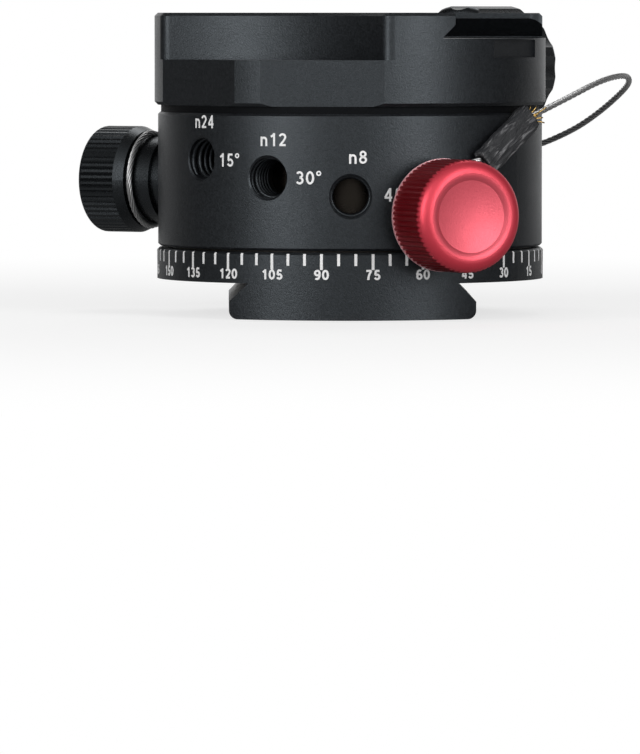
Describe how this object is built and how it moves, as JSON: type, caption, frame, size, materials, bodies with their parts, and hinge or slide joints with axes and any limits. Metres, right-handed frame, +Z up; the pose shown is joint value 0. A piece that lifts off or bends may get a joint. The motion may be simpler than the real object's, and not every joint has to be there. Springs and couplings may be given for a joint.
{
  "type": "panoramic tripod head",
  "caption": "Low indexing rotator with a dovetail foot and graduated ring, a drum housing with index holes, plunger and lock knobs on a wire lanyard, and a groove clamp on top.",
  "frame": {"origin": "centre of the tripod thread's mouth in the foot's bottom face, on the pan axis", "axes": "+Z up along the pan axis, +X along the clamp's groove, +Y towards the moving jaw and the clamp knob"},
  "size_m": [0.0857, 0.0796, 0.048],
  "materials": {
    "black_anodised": "fine bead-blasted black anodised aluminium",
    "grey_anodised": "dark grey anodised aluminium",
    "red_anodised": "satin red anodised aluminium",
    "bright_aluminium": "turned bare aluminium",
    "stainless": "turned stainless steel",
    "spring_steel": "drawn spring wire",
    "brass": "turned brass",
    "nylon": "nylon",
    "slip_ring": "low-friction plastic",
    "wire_rope": "stranded stainless wire rope",
    "sleeve": "black heat-shrink sleeve over the crimp"
  },
  "bodies": {
    "base": {"scale_base": "black_anodised", "tripod_bush": "stainless", "drum_screws": "stainless", "detent_drum": "bright_aluminium", "lower_slip_ring": "slip_ring", "upper_slip_ring": "slip_ring", "retaining_nut": "bright_aluminium"},
    "rotor": {"housing": "black_anodised", "neck_plate": "black_anodised", "plate_screws": "stainless", "clamp_base": "black_anodised", "clamp_screws": "stainless", "jaw_springs": "spring_steel", "lanyard_wire": "wire_rope", "index_loop": "wire_rope", "lock_loop": "wire_rope", "index_sleeve": "sleeve", "lock_sleeve": "sleeve"},
    "jaw": {"moving_jaw": "black_anodised", "guide_pins": "stainless", "knob_washer": "nylon"},
    "jaw_knob": {"clamp_knob": "grey_anodised", "jaw_screw": "stainless"},
    "pad_slide": {"lock_pad": "brass"},
    "lock_spindle": {"lock_knob": "black_anodised", "lock_screw": "stainless"},
    "plunger_slide": {"index_spring": "spring_steel"},
    "plunger": {"index_barrel": "stainless", "index_knob": "red_anodised"},
    "plunger_pin": {"index_pin": "stainless"}
  },
  "joints": [
    {"name": "pan", "type": "hinge", "parent": "base", "child": "rotor", "pos_m": [0, 0, 0.021], "axis": [0, 0, 1], "continuous": true},
    {"name": "jaw_travel", "type": "slide", "parent": "rotor", "child": "jaw", "axis": [0, 1, 0], "range_m": [0, 0.013], "deforming": ["jaw_springs"]},
    {"name": "clamp_knob_turn", "type": "hinge", "parent": "jaw", "child": "jaw_knob", "pos_m": [0, 0.04, 0.0381], "axis": [0, 1, 0], "range_deg": [0, 4680]},
    {"name": "pad_travel", "type": "slide", "parent": "rotor", "child": "pad_slide", "axis": [-1, 0, 0], "range_m": [-0.0004, 0.001]},
    {"name": "lock_turn", "type": "hinge", "parent": "pad_slide", "child": "lock_spindle", "pos_m": [-0.04, 0, 0.0205], "axis": [-1, 0, 0], "range_deg": [-144, 360]},
    {"name": "plunger_travel", "type": "slide", "parent": "rotor", "child": "plunger_slide", "axis": [0.832, -0.5548, 0], "range_m": [0, 0.0075]},
    {"name": "plunger_turn", "type": "hinge", "parent": "plunger_slide", "child": "plunger", "pos_m": [0.02912, -0.01942, 0.01615], "axis": [0.832, -0.5548, 0], "range_deg": [0, 2700]},
    {"name": "pin_press", "type": "slide", "parent": "plunger_slide", "child": "plunger_pin", "axis": [0.832, -0.5548, 0], "range_m": [-0.0008, 0], "stiffness_N_per_m": 500, "springref_m": -0.0008, "deforming": ["index_spring"]}
  ],
  "couplings": [
    {"joint": "jaw_travel", "follows": "clamp_knob_turn", "m_per_rad": 0.00015915},
    {"joint": "pad_travel", "follows": "lock_turn", "m_per_rad": 0.00015915},
    {"joint": "plunger_travel", "follows": "plunger_turn", "m_per_rad": 0.00015915}
  ]
}
